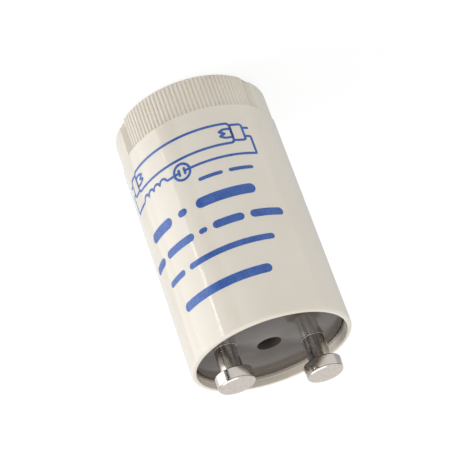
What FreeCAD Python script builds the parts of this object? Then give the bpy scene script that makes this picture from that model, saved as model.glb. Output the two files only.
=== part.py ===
"""Glow starter for a fluorescent lamp: a moulded canister closed by a base disc with two contact pins.

The starter stands on the closed end of its canister, with the pins up.
Origin: centre of the flat closed end. +Z runs along the canister, towards the pins.
+X runs along the line of the two pins. The bulb lies towards +Y, the capacitor towards -Y.
Sizes are millimetres and degrees.
"""

import FreeCAD, Part
import math
import os

# Canister
BODY_DIAMETER = 21.5
CANISTER_LENGTH = 36.7
WALL = 0.95
END_WALL = 1.2
RIM_WALL = 0.65
RIM_OUTER_ROUND = 0.4
SHOULDER_CHAMFER = 0.2
GATE_RECESS_DIAMETER = 3.6
GATE_RECESS_DEPTH = 0.25

# Ribbed grip and the two plain lugs beside it, at the closed end
GRIP_HEIGHT = 5.5
GRIP_STEP_IN = 0.6
GRIP_END_CHAMFER = 0.45
RIB_DEPTH = 0.38
RIB_PITCH_ANGLE = 3.27
RIB_FOOT_SHARE = 0.8
RIB_CREST_SHARE = 0.3
RIBS_PER_SIDE = 34
LUG_STEP_IN = 0.12
LUG_WIDTH = 10.7
LUG_ANGLE = 30.0
LUG_END_GAP = 1.0
LUG_END_CHAMFER = 0.2

# Base disc, dropped on a ledge in the canister's mouth and held by a bead
DISC_THICKNESS = 2.0
DISC_RECESS = 1.3
DISC_CLEARANCE = 0.04
DISC_HOLE_DIAMETER = 3.2
BEAD_HEIGHT = 0.14
BEAD_LENGTH = 0.5

# Contact pins, turned and riveted into the disc
PIN_PITCH = 12.7
PIN_REACH = 4.0
PIN_HEAD_DIAMETER = 5.0
PIN_HEAD_HEIGHT = 1.75
PIN_HEAD_CHAMFER = 0.15
PIN_NECK_DIAMETER = 3.0
PIN_COLLAR_DIAMETER = 3.3
PIN_COLLAR_HEIGHT = 0.15
PIN_SHANK_DIAMETER = 2.2
PIN_HOLE_CLEARANCE = 0.05
PIN_RIVET_DIAMETER = 3.2
PIN_RIVET_HEIGHT = 0.35
PIN_TAIL_LENGTH = 1.5
PIN_BORE_DIAMETER = 1.4
PIN_BORE_DEPTH = 3.2

# Solder that holds the leads in a pin's hollow tail
SOLDER_DEPTH = 2.6
SOLDER_DOME_HEIGHT = 0.5
SOLDER_CLEARANCE = 0.01

# Leads
LEAD_DIAMETER = 0.5
LEAD_SPACING = 0.62
LEAD_TURN_DROP = 1.3
LEAD_CLEARANCE = 0.01

# Glow bulb
BULB_DIAMETER = 8.0
BULB_WALL = 0.6
BULB_TUBE_LENGTH = 12.0
BULB_TIP_DIAMETER = 1.6
BULB_TIP_LENGTH = 1.4
BULB_PRESS_WIDTH = 7.0
BULB_PRESS_THICKNESS = 2.2
BULB_PRESS_HEIGHT = 3.0
BULB_SHOULDER_HEIGHT = 3.2
BULB_LEAD_PITCH = 2.4
BULB_WALL_GAP = 0.8
BULB_DISC_GAP = 4.6

# Bimetal strip and the counter electrode inside the bulb
STRIP_THICKNESS = 0.25
STRIP_WIDTH = 1.6
STRIP_LONG_LEG = 9.0
STRIP_SHORT_LEG = 5.5
STRIP_BEND_RADIUS = 0.8
STRIP_WELD_LENGTH = 1.6
ELECTRODE_THICKNESS = 0.2
ELECTRODE_LENGTH = 4.0
WELD_GAP = 0.02
FIXED_LEAD_INSIDE = 11.0
MOVING_LEAD_INSIDE = 4.6

# Capacitor
CAPACITOR_WIDTH = 9.0
CAPACITOR_THICKNESS = 4.6
CAPACITOR_HEIGHT = 11.0
CAPACITOR_SIDE_ROUND = 1.4
CAPACITOR_LEAD_PITCH = 5.0
CAPACITOR_WALL_GAP = 0.8
CAPACITOR_DISC_GAP = 7.2

# Round edges and domes are turned in flats of up to this angle
FLAT_ANGLE = 45.0

# Places that follow from the sizes
BODY_RADIUS = BODY_DIAMETER / 2
SEAT_RADIUS = BODY_RADIUS - RIM_WALL
CAVITY_RADIUS = BODY_RADIUS - WALL
GRIP_RADIUS = BODY_RADIUS - GRIP_STEP_IN
GRIP_VALLEY_RADIUS = GRIP_RADIUS - RIB_DEPTH
GRIP_CAVITY_RADIUS = GRIP_VALLEY_RADIUS - WALL
LUG_RADIUS = BODY_RADIUS - LUG_STEP_IN
DISC_RADIUS = SEAT_RADIUS - DISC_CLEARANCE
DISC_TOP = CANISTER_LENGTH - DISC_RECESS
DISC_BOTTOM = DISC_TOP - DISC_THICKNESS
PIN_TOP = CANISTER_LENGTH + PIN_REACH
PIN_BOTTOM = DISC_BOTTOM - PIN_TAIL_LENGTH
LEAD_TOP = PIN_BOTTOM + SOLDER_DEPTH - LEAD_DIAMETER / 2
LEAD_TURN = PIN_BOTTOM - LEAD_TURN_DROP
BULB_RADIUS = BULB_DIAMETER / 2
BULB_Y = CAVITY_RADIUS - BULB_WALL_GAP - BULB_RADIUS
PRESS_TOP = DISC_BOTTOM - BULB_DISC_GAP
PRESS_BOTTOM = PRESS_TOP - BULB_PRESS_HEIGHT
TUBE_TOP = PRESS_BOTTOM - BULB_SHOULDER_HEIGHT
TUBE_BOTTOM = TUBE_TOP - BULB_TUBE_LENGTH
CAPACITOR_TOP = DISC_BOTTOM - CAPACITOR_DISC_GAP

SIDES = {"left": -1, "right": 1}


def point(x, y, z):
    return FreeCAD.Vector(x, y, z)


def arc(centre, radius, start, end):
    """Points along an arc in a profile, between two angles. Its flats keep the surface light."""
    flats = math.ceil(abs(end - start) / FLAT_ANGLE)
    places = []
    for count in range(flats + 1):
        angle = math.radians(start + (end - start) * count / flats)
        places.append((centre[0] + radius * math.cos(angle), centre[1] + radius * math.sin(angle)))
    return places


def turned(*profile):
    """Solid turned about Z from the (radius, height) points of its half section."""
    corners = [point(radius, 0, height) for radius, height in profile]
    face = Part.Face(Part.makePolygon(corners + corners[:1]))
    return face.revolve(point(0, 0, 0), point(0, 0, 1), 360)


def rod(diameter, bottom, top, x=0.0, y=0.0):
    return Part.makeCylinder(diameter / 2, top - bottom, point(x, y, bottom))


def pressed_tube(low, high, bottom, top):
    """Cone squeezed flat across Y. low and high are its half width and half thickness at bottom and top."""
    (low_width, low_thickness), (high_width, high_thickness) = low, high
    height = top - bottom
    if low_width == high_width:
        tube = Part.makeCylinder(low_width, height, point(0, 0, bottom))
    else:
        tube = Part.makeCone(low_width, high_width, height, point(0, 0, bottom))
    reach = 2 * max(low_width, high_width)
    corners = [
        point(-reach / 2, -low_thickness, bottom),
        point(-reach / 2, low_thickness, bottom),
        point(-reach / 2, high_thickness, top),
        point(-reach / 2, -high_thickness, top),
    ]
    jaws = Part.Face(Part.makePolygon(corners + corners[:1])).extrude(point(reach, 0, 0))
    return tube.common(jaws)


def bent_wire(diameter, places):
    """Round wire along straight runs, with mitred corners."""
    section = Part.Wire([Part.makeCircle(diameter / 2, places[0], places[1] - places[0])])
    mitred = 1
    return Part.makePolygon(places).makePipeShell([section], True, True, mitred)


def grip_section():
    """Section of the ribbed grip: pointed ribs on both open sides, round where the lugs stand."""

    def place(radius, angle):
        turn = math.radians(angle)
        return point(radius * math.cos(turn), radius * math.sin(turn), 0)

    half_foot = RIB_PITCH_ANGLE * RIB_FOOT_SHARE / 2
    tip_radius = GRIP_VALLEY_RADIUS + RIB_DEPTH * RIB_FOOT_SHARE / (RIB_FOOT_SHARE - RIB_CREST_SHARE)
    ribs = []
    for side_middle in (90, 270):
        first = side_middle - RIB_PITCH_ANGLE * (RIBS_PER_SIDE - 1) / 2
        ribs += [first + RIB_PITCH_ANGLE * count for count in range(RIBS_PER_SIDE)]
    edges = []
    for rib, following in zip(ribs, ribs[1:] + [ribs[0] + 360]):
        start, tip = place(GRIP_VALLEY_RADIUS, rib - half_foot), place(tip_radius, rib)
        foot = place(GRIP_VALLEY_RADIUS, rib + half_foot)
        next_start = place(GRIP_VALLEY_RADIUS, following - half_foot)
        edges += [Part.makeLine(start, tip), Part.makeLine(tip, foot)]
        if following - rib > 2 * RIB_PITCH_ANGLE:
            middle = place(GRIP_VALLEY_RADIUS, (rib + following) / 2)
            edges.append(Part.Arc(foot, middle, next_start).toShape())
        else:
            edges.append(Part.makeLine(foot, next_start))
    return Part.Face(Part.Wire(edges))


def grip():
    """Ribs topped and bevelled by a turned form, with a plain lug a little above the end on each side."""
    height = GRIP_HEIGHT + SHOULDER_CHAMFER
    end_edge = [(0, 0), (GRIP_RADIUS - GRIP_END_CHAMFER, 0), (GRIP_RADIUS, GRIP_END_CHAMFER)]
    rib_form = turned(*end_edge, (GRIP_RADIUS, height), (0, height))
    lug_form = turned(
        *end_edge,
        (GRIP_RADIUS, LUG_END_GAP),
        (LUG_RADIUS - LUG_END_CHAMFER, LUG_END_GAP),
        (LUG_RADIUS, LUG_END_GAP + LUG_END_CHAMFER),
        (LUG_RADIUS, height),
        (0, height),
    )
    lug_block = Part.makeBox(2 * LUG_RADIUS, LUG_WIDTH, height, point(-LUG_RADIUS, -LUG_WIDTH / 2, 0))
    ribbed = grip_section().extrude(point(0, 0, height)).common(rib_form)
    shape = ribbed.fuse(lug_block.common(lug_form))
    shape.rotate(point(0, 0, 0), point(0, 0, 1), LUG_ANGLE)
    return shape


def canister_cavity():
    """Inside of the canister: cavity, ledge and seat for the disc, retaining bead and open mouth."""
    bead_radius = SEAT_RADIUS - BEAD_HEIGHT
    bead_middle = DISC_TOP + DISC_CLEARANCE + BEAD_LENGTH / 2
    return turned(
        (0, END_WALL),
        (GRIP_CAVITY_RADIUS, END_WALL),
        (GRIP_CAVITY_RADIUS, GRIP_HEIGHT + WALL),
        (CAVITY_RADIUS, GRIP_HEIGHT + WALL),
        (CAVITY_RADIUS, DISC_BOTTOM),
        (SEAT_RADIUS, DISC_BOTTOM),
        (SEAT_RADIUS, bead_middle - BEAD_LENGTH / 2),
        (bead_radius, bead_middle),
        (SEAT_RADIUS, bead_middle + BEAD_LENGTH / 2),
        (SEAT_RADIUS, CANISTER_LENGTH),
        (0, CANISTER_LENGTH),
    )


def canister():
    """One moulded shell: smooth body, stepped-in grip with ribs and lugs, and a thin rounded rim."""
    body = turned(
        (0, GRIP_HEIGHT),
        (BODY_RADIUS - SHOULDER_CHAMFER, GRIP_HEIGHT),
        (BODY_RADIUS, GRIP_HEIGHT + SHOULDER_CHAMFER),
        *arc((BODY_RADIUS - RIM_OUTER_ROUND, CANISTER_LENGTH - RIM_OUTER_ROUND), RIM_OUTER_ROUND, 0, 90),
        (0, CANISTER_LENGTH),
    )
    gate_recess = rod(GATE_RECESS_DIAMETER, 0, GATE_RECESS_DEPTH)
    shape = body.fuse(grip()).cut(canister_cavity()).cut(gate_recess)
    return shape.removeSplitter()


def base_disc():
    """Punched board with a centre hole and a hole for each pin's shank."""
    disc = rod(2 * DISC_RADIUS, DISC_BOTTOM, DISC_TOP)
    disc = disc.cut(rod(DISC_HOLE_DIAMETER, DISC_BOTTOM, DISC_TOP))
    pin_hole = PIN_SHANK_DIAMETER + 2 * PIN_HOLE_CLEARANCE
    for side in SIDES.values():
        disc = disc.cut(rod(pin_hole, DISC_BOTTOM, DISC_TOP, side * PIN_PITCH / 2))
    return disc


def contact_pin(side):
    """Turned pin: flat head, neck, seating collar, shank through the disc, rivet flange and hollow tail."""
    head_radius = PIN_HEAD_DIAMETER / 2
    neck_radius = PIN_NECK_DIAMETER / 2
    collar_radius = PIN_COLLAR_DIAMETER / 2
    shank_radius = PIN_SHANK_DIAMETER / 2
    rivet_radius = PIN_RIVET_DIAMETER / 2
    bore_radius = PIN_BORE_DIAMETER / 2
    head_bottom = PIN_TOP - PIN_HEAD_HEIGHT
    bore_top = PIN_BOTTOM + PIN_BORE_DEPTH
    pin = turned(
        (0, bore_top),
        (bore_radius, bore_top),
        (bore_radius, PIN_BOTTOM),
        (shank_radius, PIN_BOTTOM),
        (shank_radius, DISC_BOTTOM - PIN_RIVET_HEIGHT),
        (rivet_radius, DISC_BOTTOM - PIN_RIVET_HEIGHT),
        (rivet_radius, DISC_BOTTOM),
        (shank_radius, DISC_BOTTOM),
        (shank_radius, DISC_TOP),
        (collar_radius, DISC_TOP),
        (collar_radius, DISC_TOP + PIN_COLLAR_HEIGHT),
        (neck_radius, DISC_TOP + PIN_COLLAR_HEIGHT),
        (neck_radius, head_bottom),
        (head_radius, head_bottom),
        (head_radius, PIN_TOP - PIN_HEAD_CHAMFER),
        (head_radius - PIN_HEAD_CHAMFER, PIN_TOP),
        (0, PIN_TOP),
    )
    pin.translate(point(side * PIN_PITCH / 2, 0, 0))
    return pin


def solder_joint(side):
    """Solder that fills a pin's tail round its two leads and domes over the tail's end."""
    bore_radius = PIN_BORE_DIAMETER / 2 - SOLDER_CLEARANCE
    dome_radius = PIN_SHANK_DIAMETER / 2
    dome_bottom = PIN_BOTTOM - SOLDER_DOME_HEIGHT
    lead_hole = LEAD_DIAMETER + 2 * LEAD_CLEARANCE
    fill = turned(
        (0, dome_bottom),
        (dome_radius / 2, dome_bottom),
        (dome_radius, PIN_BOTTOM),
        (bore_radius, PIN_BOTTOM),
        (bore_radius, PIN_BOTTOM + SOLDER_DEPTH),
        (0, PIN_BOTTOM + SOLDER_DEPTH),
    )
    for lead_side in (-1, 1):
        y = lead_side * LEAD_SPACING / 2
        fill = fill.cut(rod(lead_hole, dome_bottom, LEAD_TOP + LEAD_CLEARANCE, 0, y))
    fill.translate(point(side * PIN_PITCH / 2, 0, 0))
    return fill


def bulb_lead(side, length_inside):
    """Lead from inside the bulb, out through its press and over to a pin's tail."""
    x = side * BULB_LEAD_PITCH / 2
    tail_x = side * PIN_PITCH / 2
    tail_y = LEAD_SPACING / 2
    return bent_wire(
        LEAD_DIAMETER,
        [
            point(x, BULB_Y, PRESS_BOTTOM - length_inside),
            point(x, BULB_Y, LEAD_TURN),
            point(tail_x, tail_y, LEAD_TURN),
            point(tail_x, tail_y, LEAD_TOP),
        ],
    )


def bulb_envelope():
    """Glass tube with a domed end and an exhaust tip, pressed flat round the two leads at the other end."""
    inner_radius = BULB_RADIUS - BULB_WALL
    tip_radius = BULB_TIP_DIAMETER / 2
    tip_angle = -90 + math.degrees(math.asin(tip_radius / BULB_RADIUS))
    tip_end = TUBE_BOTTOM - BULB_RADIUS - BULB_TIP_LENGTH
    glass = turned(
        *arc((0, tip_end + tip_radius), tip_radius, -90, 0),
        *arc((0, TUBE_BOTTOM), BULB_RADIUS, tip_angle, 0),
        (BULB_RADIUS, TUBE_TOP),
        (0, TUBE_TOP),
    )
    hollow = turned(
        *arc((0, TUBE_BOTTOM), inner_radius, -90, 0),
        (inner_radius, TUBE_TOP),
        (BULB_PRESS_THICKNESS / 2 - BULB_WALL, PRESS_BOTTOM - BULB_WALL),
        (0, PRESS_BOTTOM - BULB_WALL),
    )
    press = (BULB_PRESS_WIDTH / 2, BULB_PRESS_THICKNESS / 2)
    glass = glass.fuse(pressed_tube((BULB_RADIUS, BULB_RADIUS), press, TUBE_TOP, PRESS_BOTTOM))
    glass = glass.fuse(pressed_tube(press, press, PRESS_BOTTOM, PRESS_TOP))
    glass = glass.cut(hollow)
    lead_hole = LEAD_DIAMETER + 2 * LEAD_CLEARANCE
    for side in SIDES.values():
        glass = glass.cut(rod(lead_hole, TUBE_TOP, PRESS_TOP, side * BULB_LEAD_PITCH / 2))
    glass = glass.removeSplitter()
    glass.translate(point(0, BULB_Y, 0))
    return glass


def bimetal_strip():
    """U-shaped strip: its long leg is welded to one lead, and its short leg faces the fixed electrode."""
    outer_bend = STRIP_BEND_RADIUS + STRIP_THICKNESS
    long_leg_x = -BULB_LEAD_PITCH / 2 - LEAD_DIAMETER / 2 - WELD_GAP
    bend_x = long_leg_x + STRIP_BEND_RADIUS
    weld_top = PRESS_BOTTOM - MOVING_LEAD_INSIDE + STRIP_WELD_LENGTH
    bend_z = weld_top - STRIP_LONG_LEG
    short_top = bend_z + STRIP_SHORT_LEG
    y = BULB_Y - STRIP_WIDTH / 2

    def place(x, z):
        return point(x, y, z)

    inner_left, outer_left = place(long_leg_x, bend_z), place(bend_x - outer_bend, bend_z)
    inner_right, outer_right = place(bend_x + STRIP_BEND_RADIUS, bend_z), place(bend_x + outer_bend, bend_z)
    edges = [
        Part.makeLine(place(long_leg_x, weld_top), inner_left),
        Part.Arc(inner_left, place(bend_x, bend_z - STRIP_BEND_RADIUS), inner_right).toShape(),
        Part.makeLine(inner_right, place(bend_x + STRIP_BEND_RADIUS, short_top)),
        Part.makeLine(place(bend_x + STRIP_BEND_RADIUS, short_top), place(bend_x + outer_bend, short_top)),
        Part.makeLine(place(bend_x + outer_bend, short_top), outer_right),
        Part.Arc(outer_right, place(bend_x, bend_z - outer_bend), outer_left).toShape(),
        Part.makeLine(outer_left, place(bend_x - outer_bend, weld_top)),
        Part.makeLine(place(bend_x - outer_bend, weld_top), place(long_leg_x, weld_top)),
    ]
    return Part.Face(Part.Wire(edges)).extrude(point(0, STRIP_WIDTH, 0))


def counter_electrode():
    """Flat strip welded to the fixed side's lead, on the side that faces away from the bimetal."""
    near_x = BULB_LEAD_PITCH / 2 + LEAD_DIAMETER / 2 + WELD_GAP
    bottom = PRESS_BOTTOM - FIXED_LEAD_INSIDE
    corner = point(near_x, BULB_Y - STRIP_WIDTH / 2, bottom)
    return Part.makeBox(ELECTRODE_THICKNESS, STRIP_WIDTH, ELECTRODE_LENGTH, corner)


def capacitor_y():
    """As far towards -Y as the body's corners allow inside the cavity."""
    reach = CAVITY_RADIUS - CAPACITOR_WALL_GAP
    half_width = CAPACITOR_WIDTH / 2 - CAPACITOR_SIDE_ROUND / 2
    return -(math.sqrt(reach**2 - half_width**2) - CAPACITOR_THICKNESS / 2)


def capacitor_body():
    """Film capacitor: a coated block with rounded long edges."""
    back = capacitor_y() - CAPACITOR_THICKNESS / 2
    corner = point(-CAPACITOR_WIDTH / 2, back, CAPACITOR_TOP - CAPACITOR_HEIGHT)
    block = Part.makeBox(CAPACITOR_WIDTH, CAPACITOR_THICKNESS, CAPACITOR_HEIGHT, corner)
    upright = [edge for edge in block.Edges if edge.BoundBox.ZLength > CAPACITOR_HEIGHT / 2]
    return block.makeFillet(CAPACITOR_SIDE_ROUND, upright)


def capacitor_lead(side):
    """Lead from the top of the capacitor over to a pin's tail."""
    x = side * CAPACITOR_LEAD_PITCH / 2
    tail_x = side * PIN_PITCH / 2
    tail_y = -LEAD_SPACING / 2
    return bent_wire(
        LEAD_DIAMETER,
        [
            point(x, capacitor_y(), CAPACITOR_TOP),
            point(x, capacitor_y(), LEAD_TURN),
            point(tail_x, tail_y, LEAD_TURN),
            point(tail_x, tail_y, LEAD_TOP),
        ],
    )


def pieces():
    """Every separate piece of the starter, by name."""
    made = {
        "canister": canister(),
        "base_disc": base_disc(),
        "bulb_envelope": bulb_envelope(),
        "bimetal_strip": bimetal_strip(),
        "counter_electrode": counter_electrode(),
        "bulb_lead_left": bulb_lead(SIDES["left"], MOVING_LEAD_INSIDE),
        "bulb_lead_right": bulb_lead(SIDES["right"], FIXED_LEAD_INSIDE),
        "capacitor_body": capacitor_body(),
    }
    for name, side in SIDES.items():
        made[f"contact_pin_{name}"] = contact_pin(side)
        made[f"solder_joint_{name}"] = solder_joint(side)
        made[f"capacitor_lead_{name}"] = capacitor_lead(side)
    return made


os.makedirs("parts", exist_ok=True)
for name, shape in pieces().items():
    shape.exportStep(f"parts/{name}.step")
    print(f"{name}: {len(shape.Solids)} solid, {shape.Volume:.1f} mm3, valid {shape.isValid()}")
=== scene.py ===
# %% [markdown]
# # A plug-in starter for a fluorescent lamp
# The real object is a moulded plastic canister of about 21 by 37 mm. Its closed end is a ribbed
# grip for the fingers, and its mouth is closed by a dark board with two turned metal pins.
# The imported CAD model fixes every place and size. This lesson builds finer meshes in the same
# places, gives each piece its finish, and lights it as in a small white photo studio.

import math

import bmesh
import bpy
from mathutils import Matrix, Vector


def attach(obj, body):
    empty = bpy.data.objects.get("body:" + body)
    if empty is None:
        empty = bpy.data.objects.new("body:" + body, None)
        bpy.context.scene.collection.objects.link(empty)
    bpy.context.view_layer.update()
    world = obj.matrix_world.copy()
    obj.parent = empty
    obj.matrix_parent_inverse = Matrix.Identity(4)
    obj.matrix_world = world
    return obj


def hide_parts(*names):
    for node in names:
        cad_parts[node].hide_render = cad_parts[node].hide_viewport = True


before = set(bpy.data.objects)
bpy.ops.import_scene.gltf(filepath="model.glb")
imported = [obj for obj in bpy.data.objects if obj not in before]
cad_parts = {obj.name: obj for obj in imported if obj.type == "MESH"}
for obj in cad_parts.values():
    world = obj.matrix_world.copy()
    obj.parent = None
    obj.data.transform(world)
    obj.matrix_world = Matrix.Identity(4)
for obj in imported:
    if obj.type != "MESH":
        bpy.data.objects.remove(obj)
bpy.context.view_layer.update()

# %% [markdown]
# ## The camera
# The starter stands on its closed end, but the photograph shows it lying head down: the camera
# looked down on the pins and was rolled over by about 160 degrees. The place of the camera was
# found from the ellipse of the rim, the shoulder, and the two pins, whose spacing is known.
# A long lens from a quarter of a metre away keeps the slight perspective of the original.

# %% Camera
MM = 0.001
CAMERA_PLACE = Vector((102.57, -177.66, 121.51)) * MM
CAMERA_AIM = Vector((0.52, -2.00, 20.20)) * MM
CAMERA_ROLL = math.radians(160.24)
CAMERA_LENS = 133.4
CAMERA_SENSOR = 36.0

camera_data = bpy.data.cameras.new("camera")
camera_data.sensor_width = CAMERA_SENSOR
camera_data.lens = CAMERA_LENS
camera = bpy.data.objects.new("camera", camera_data)
bpy.context.scene.collection.objects.link(camera)
looking = (CAMERA_AIM - CAMERA_PLACE).to_track_quat("-Z", "Y").to_matrix().to_4x4()
camera.matrix_world = Matrix.Translation(CAMERA_PLACE) @ looking @ Matrix.Rotation(CAMERA_ROLL, 4, "Z")
bpy.context.scene.camera = camera
print(f"camera {(CAMERA_AIM - CAMERA_PLACE).length / MM:.0f} mm from its aim, lens {CAMERA_LENS} mm")

# %% [markdown]
# ## Helpers for nodes
# A material is a small graph. Writing each node, its settings and its inputs in one call keeps
# the graphs short enough to read. A value that is the same all over a surface is set on the
# socket itself, and a link is made only where something varies.


# %% Node helpers
def add_node(tree, kind, inputs=None, **settings):
    """One node. Each input takes a value, or the output socket that it is linked from."""
    made = tree.nodes.new(kind)
    for key, value in settings.items():
        setattr(made, key, value)
    for key, value in (inputs or {}).items():
        if isinstance(value, bpy.types.NodeSocket):
            tree.links.new(value, made.inputs[key])
        else:
            made.inputs[key].default_value = value
    return made


def maths(tree, operation, *values):
    """Output of a Math node on one, two or three values or sockets."""
    return add_node(tree, "ShaderNodeMath", dict(enumerate(values)), operation=operation).outputs[0]


def blended(tree, factor, first, second):
    """Output of a colour mix."""
    inputs = {"Factor": factor, "A": first, "B": second}
    mix = tree.nodes.new("ShaderNodeMix")
    mix.data_type = "RGBA"
    for name, value in inputs.items():
        socket = next(s for s in mix.inputs if s.name == name and s.enabled)
        if isinstance(value, bpy.types.NodeSocket):
            tree.links.new(value, socket)
        else:
            socket.default_value = value
    return next(s for s in mix.outputs if s.enabled)


def remapped(tree, value, low, high, new_low, new_high):
    """Output of a clamped Map Range node."""
    inputs = {"Value": value, "From Min": low, "From Max": high, "To Min": new_low, "To Max": new_high}
    return add_node(tree, "ShaderNodeMapRange", inputs).outputs["Result"]


def new_material(name, **values):
    """A material with only a Principled shader, its plain values set on its sockets."""
    made = bpy.data.materials.new(name)
    made.use_nodes = True
    shader = made.node_tree.nodes["Principled BSDF"]
    for key, value in values.items():
        shader.inputs[key.replace("_", " ").title().replace("Ior", "IOR")].default_value = value
    return made, made.node_tree, shader


print("node helpers ready")

# %% [markdown]
# ## Floor and background
# The original stands against pure white. A floor that only reflected light would turn grey
# before it turned white, so what the camera, metal and glass see of the floor is mostly its own
# white glow, with a share of plain diffuse white that lets the soft shadow of the starter show.
# All other rays meet an ordinary pale floor, which throws light up on the object.

# %% Floor
FLOOR_HALF_WIDTH = 1.5
FLOOR_DROP = 0.02 * MM
FLOOR_GLOW_SHARE = 0.8
FLOOR_GLOW = 1.04
WHITE = (1, 1, 1, 1)
PALE = (0.8, 0.8, 0.8, 1)


def white_rays(tree):
    """1 for the rays that should see plain white: camera, glossy and transmission rays."""
    path = tree.nodes.new("ShaderNodeLightPath")
    either = maths(tree, "MAXIMUM", path.outputs["Is Camera Ray"], path.outputs["Is Glossy Ray"])
    return maths(tree, "MAXIMUM", either, path.outputs["Is Transmission Ray"])


def mixed_shaders(tree, factor, first, second):
    """Mix Shader node on two shader nodes."""
    inputs = {0: factor, 1: first.outputs[0], 2: second.outputs[0]}
    return add_node(tree, "ShaderNodeMixShader", inputs)


def floor_material():
    """Plain pale floor for diffuse rays, and a nearly white one for all rays that see it."""
    made = bpy.data.materials.new("studio_floor")
    made.use_nodes = True
    tree = made.node_tree
    tree.nodes.clear()
    pale = add_node(tree, "ShaderNodeBsdfDiffuse", {"Color": PALE})
    white = add_node(tree, "ShaderNodeBsdfDiffuse", {"Color": WHITE})
    glow = add_node(tree, "ShaderNodeEmission", {"Strength": FLOOR_GLOW})
    seen = mixed_shaders(tree, FLOOR_GLOW_SHARE, white, glow)
    surface = mixed_shaders(tree, white_rays(tree), pale, seen)
    add_node(tree, "ShaderNodeOutputMaterial", {"Surface": surface.outputs[0]})
    return made


floor_mesh = bmesh.new()
bmesh.ops.create_grid(floor_mesh, x_segments=1, y_segments=1, size=FLOOR_HALF_WIDTH)
bmesh.ops.translate(floor_mesh, verts=floor_mesh.verts, vec=(0, 0, -FLOOR_DROP))
floor_data = bpy.data.meshes.new("floor")
floor_mesh.to_mesh(floor_data)
floor_mesh.free()
floor = bpy.data.objects.new("floor", floor_data)
bpy.context.scene.collection.objects.link(floor)
floor_data.materials.append(floor_material())
floor.visible_glossy = False
print("floor", 2 * FLOOR_HALF_WIDTH, "m wide")

# %% [markdown]
# ## Light
# A glossy plastic shows two things: the soft shading of the lamps, and a mirror image of the
# studio. They are set apart here. One wide lamp and the world give the shading. Reflections see
# a white surround with panels in it. A narrow and very bright strip draws the fine line along the
# canister. The wall is brighter on the side of the line where a bright panel follows, and duller
# where a dim one does. Beyond the dim panel a dark gap draws the dark bands on the pins.
# The panels are seen only in reflections, and the floor isn't, so that nothing cuts them off.

# %% World and lamp
AMBIENT_STRENGTH = 0.85
SURROUND_STRENGTH = 0.9
KEY_AZIMUTH = 25.0
KEY_ELEVATION = 30.0
KEY_DISTANCE = 0.6
KEY_SIZE = 0.35
KEY_POWER = 1.15


def direction(azimuth, elevation):
    """Unit vector towards an azimuth and an elevation in degrees."""
    across = math.cos(math.radians(elevation))
    turn = math.radians(azimuth)
    return Vector((across * math.cos(turn), across * math.sin(turn), math.sin(math.radians(elevation))))


world = bpy.data.worlds.new("studio")
world.use_nodes = True
world_tree = world.node_tree
sky = world_tree.nodes["Background"]
path = world_tree.nodes.new("ShaderNodeLightPath")
mirrored = maths(world_tree, "MAXIMUM", path.outputs["Is Glossy Ray"], path.outputs["Is Transmission Ray"])
strength = remapped(world_tree, mirrored, 0.0, 1.0, AMBIENT_STRENGTH, SURROUND_STRENGTH)
strength = maths(world_tree, "MAXIMUM", strength, path.outputs["Is Camera Ray"])
world_tree.links.new(strength, sky.inputs["Strength"])
sky.inputs["Color"].default_value = WHITE
bpy.context.scene.world = world

key_data = bpy.data.lights.new("key", "AREA")
key_data.shape = "DISK"
key_data.size = KEY_SIZE
key_data.energy = KEY_POWER
key = bpy.data.objects.new("key", key_data)
bpy.context.scene.collection.objects.link(key)
key.location = direction(KEY_AZIMUTH, KEY_ELEVATION) * KEY_DISTANCE
key.rotation_euler = (-key.location).to_track_quat("-Z", "Y").to_euler()
key.visible_glossy = False
bpy.context.scene.view_settings.view_transform = "Standard"
print("key lamp at", [round(x, 3) for x in key.location])

# %% Panels that only reflections see
PANEL_DISTANCE = 0.9
PANEL_STEP_ANGLE = 2.0
# name, first and last azimuth, lowest and highest elevation, strength
PANELS = (
    ("panel_bright", -3.0, 40.0, -70.0, 15.0, 2.7),
    ("panel_side", 40.0, 60.0, -70.0, 15.0, 1.8),
    ("panel_edge", -5.5, -3.5, -26.0, 15.0, 11.0),
    ("panel_edge_low", -5.5, -3.5, -70.0, -26.0, 5.0),
    ("panel_dim", -19.0, -5.5, -70.0, 15.0, 0.6),
    ("panel_gap", -36.0, -19.0, -70.0, 15.0, 0.05),
    ("panel_shade", 120.0, 205.0, -70.0, -4.0, 0.55),
    ("panel_top", -90.0, 60.0, 42.0, 84.0, 2.0),
)


def studio_panel(name, start, end, low, high, panel_strength):
    """Part of a sphere round the object: an upright arc of vertices, spun about Z."""
    bm = bmesh.new()
    rows = round((high - low) / PANEL_STEP_ANGLE)
    elevations = [low + (high - low) * n / rows for n in range(rows + 1)]
    arc = [bm.verts.new(direction(start, elevation) * PANEL_DISTANCE) for elevation in elevations]
    for lower, upper in zip(arc, arc[1:]):
        bm.edges.new((lower, upper))
    steps = max(2, round((end - start) / PANEL_STEP_ANGLE))
    turn = math.radians(end - start)
    geometry = bm.verts[:] + bm.edges[:]
    bmesh.ops.spin(bm, geom=geometry, axis=(0, 0, 1), cent=(0, 0, 0), angle=turn, steps=steps)
    mesh = bpy.data.meshes.new(name)
    bm.to_mesh(mesh)
    bm.free()
    panel = bpy.data.objects.new(name, mesh)
    bpy.context.scene.collection.objects.link(panel)
    glow = bpy.data.materials.new(name)
    glow.use_nodes = True
    glow.node_tree.nodes.clear()
    light = add_node(glow.node_tree, "ShaderNodeEmission", {"Strength": panel_strength})
    add_node(glow.node_tree, "ShaderNodeOutputMaterial", {"Surface": light.outputs[0]})
    glow.cycles.emission_sampling = "NONE"
    mesh.materials.append(glow)
    panel.visible_camera = panel.visible_diffuse = panel.visible_shadow = False
    panel.visible_transmission = False
    return panel


for panel_row in PANELS:
    print("panel", studio_panel(*panel_row).name)

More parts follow.
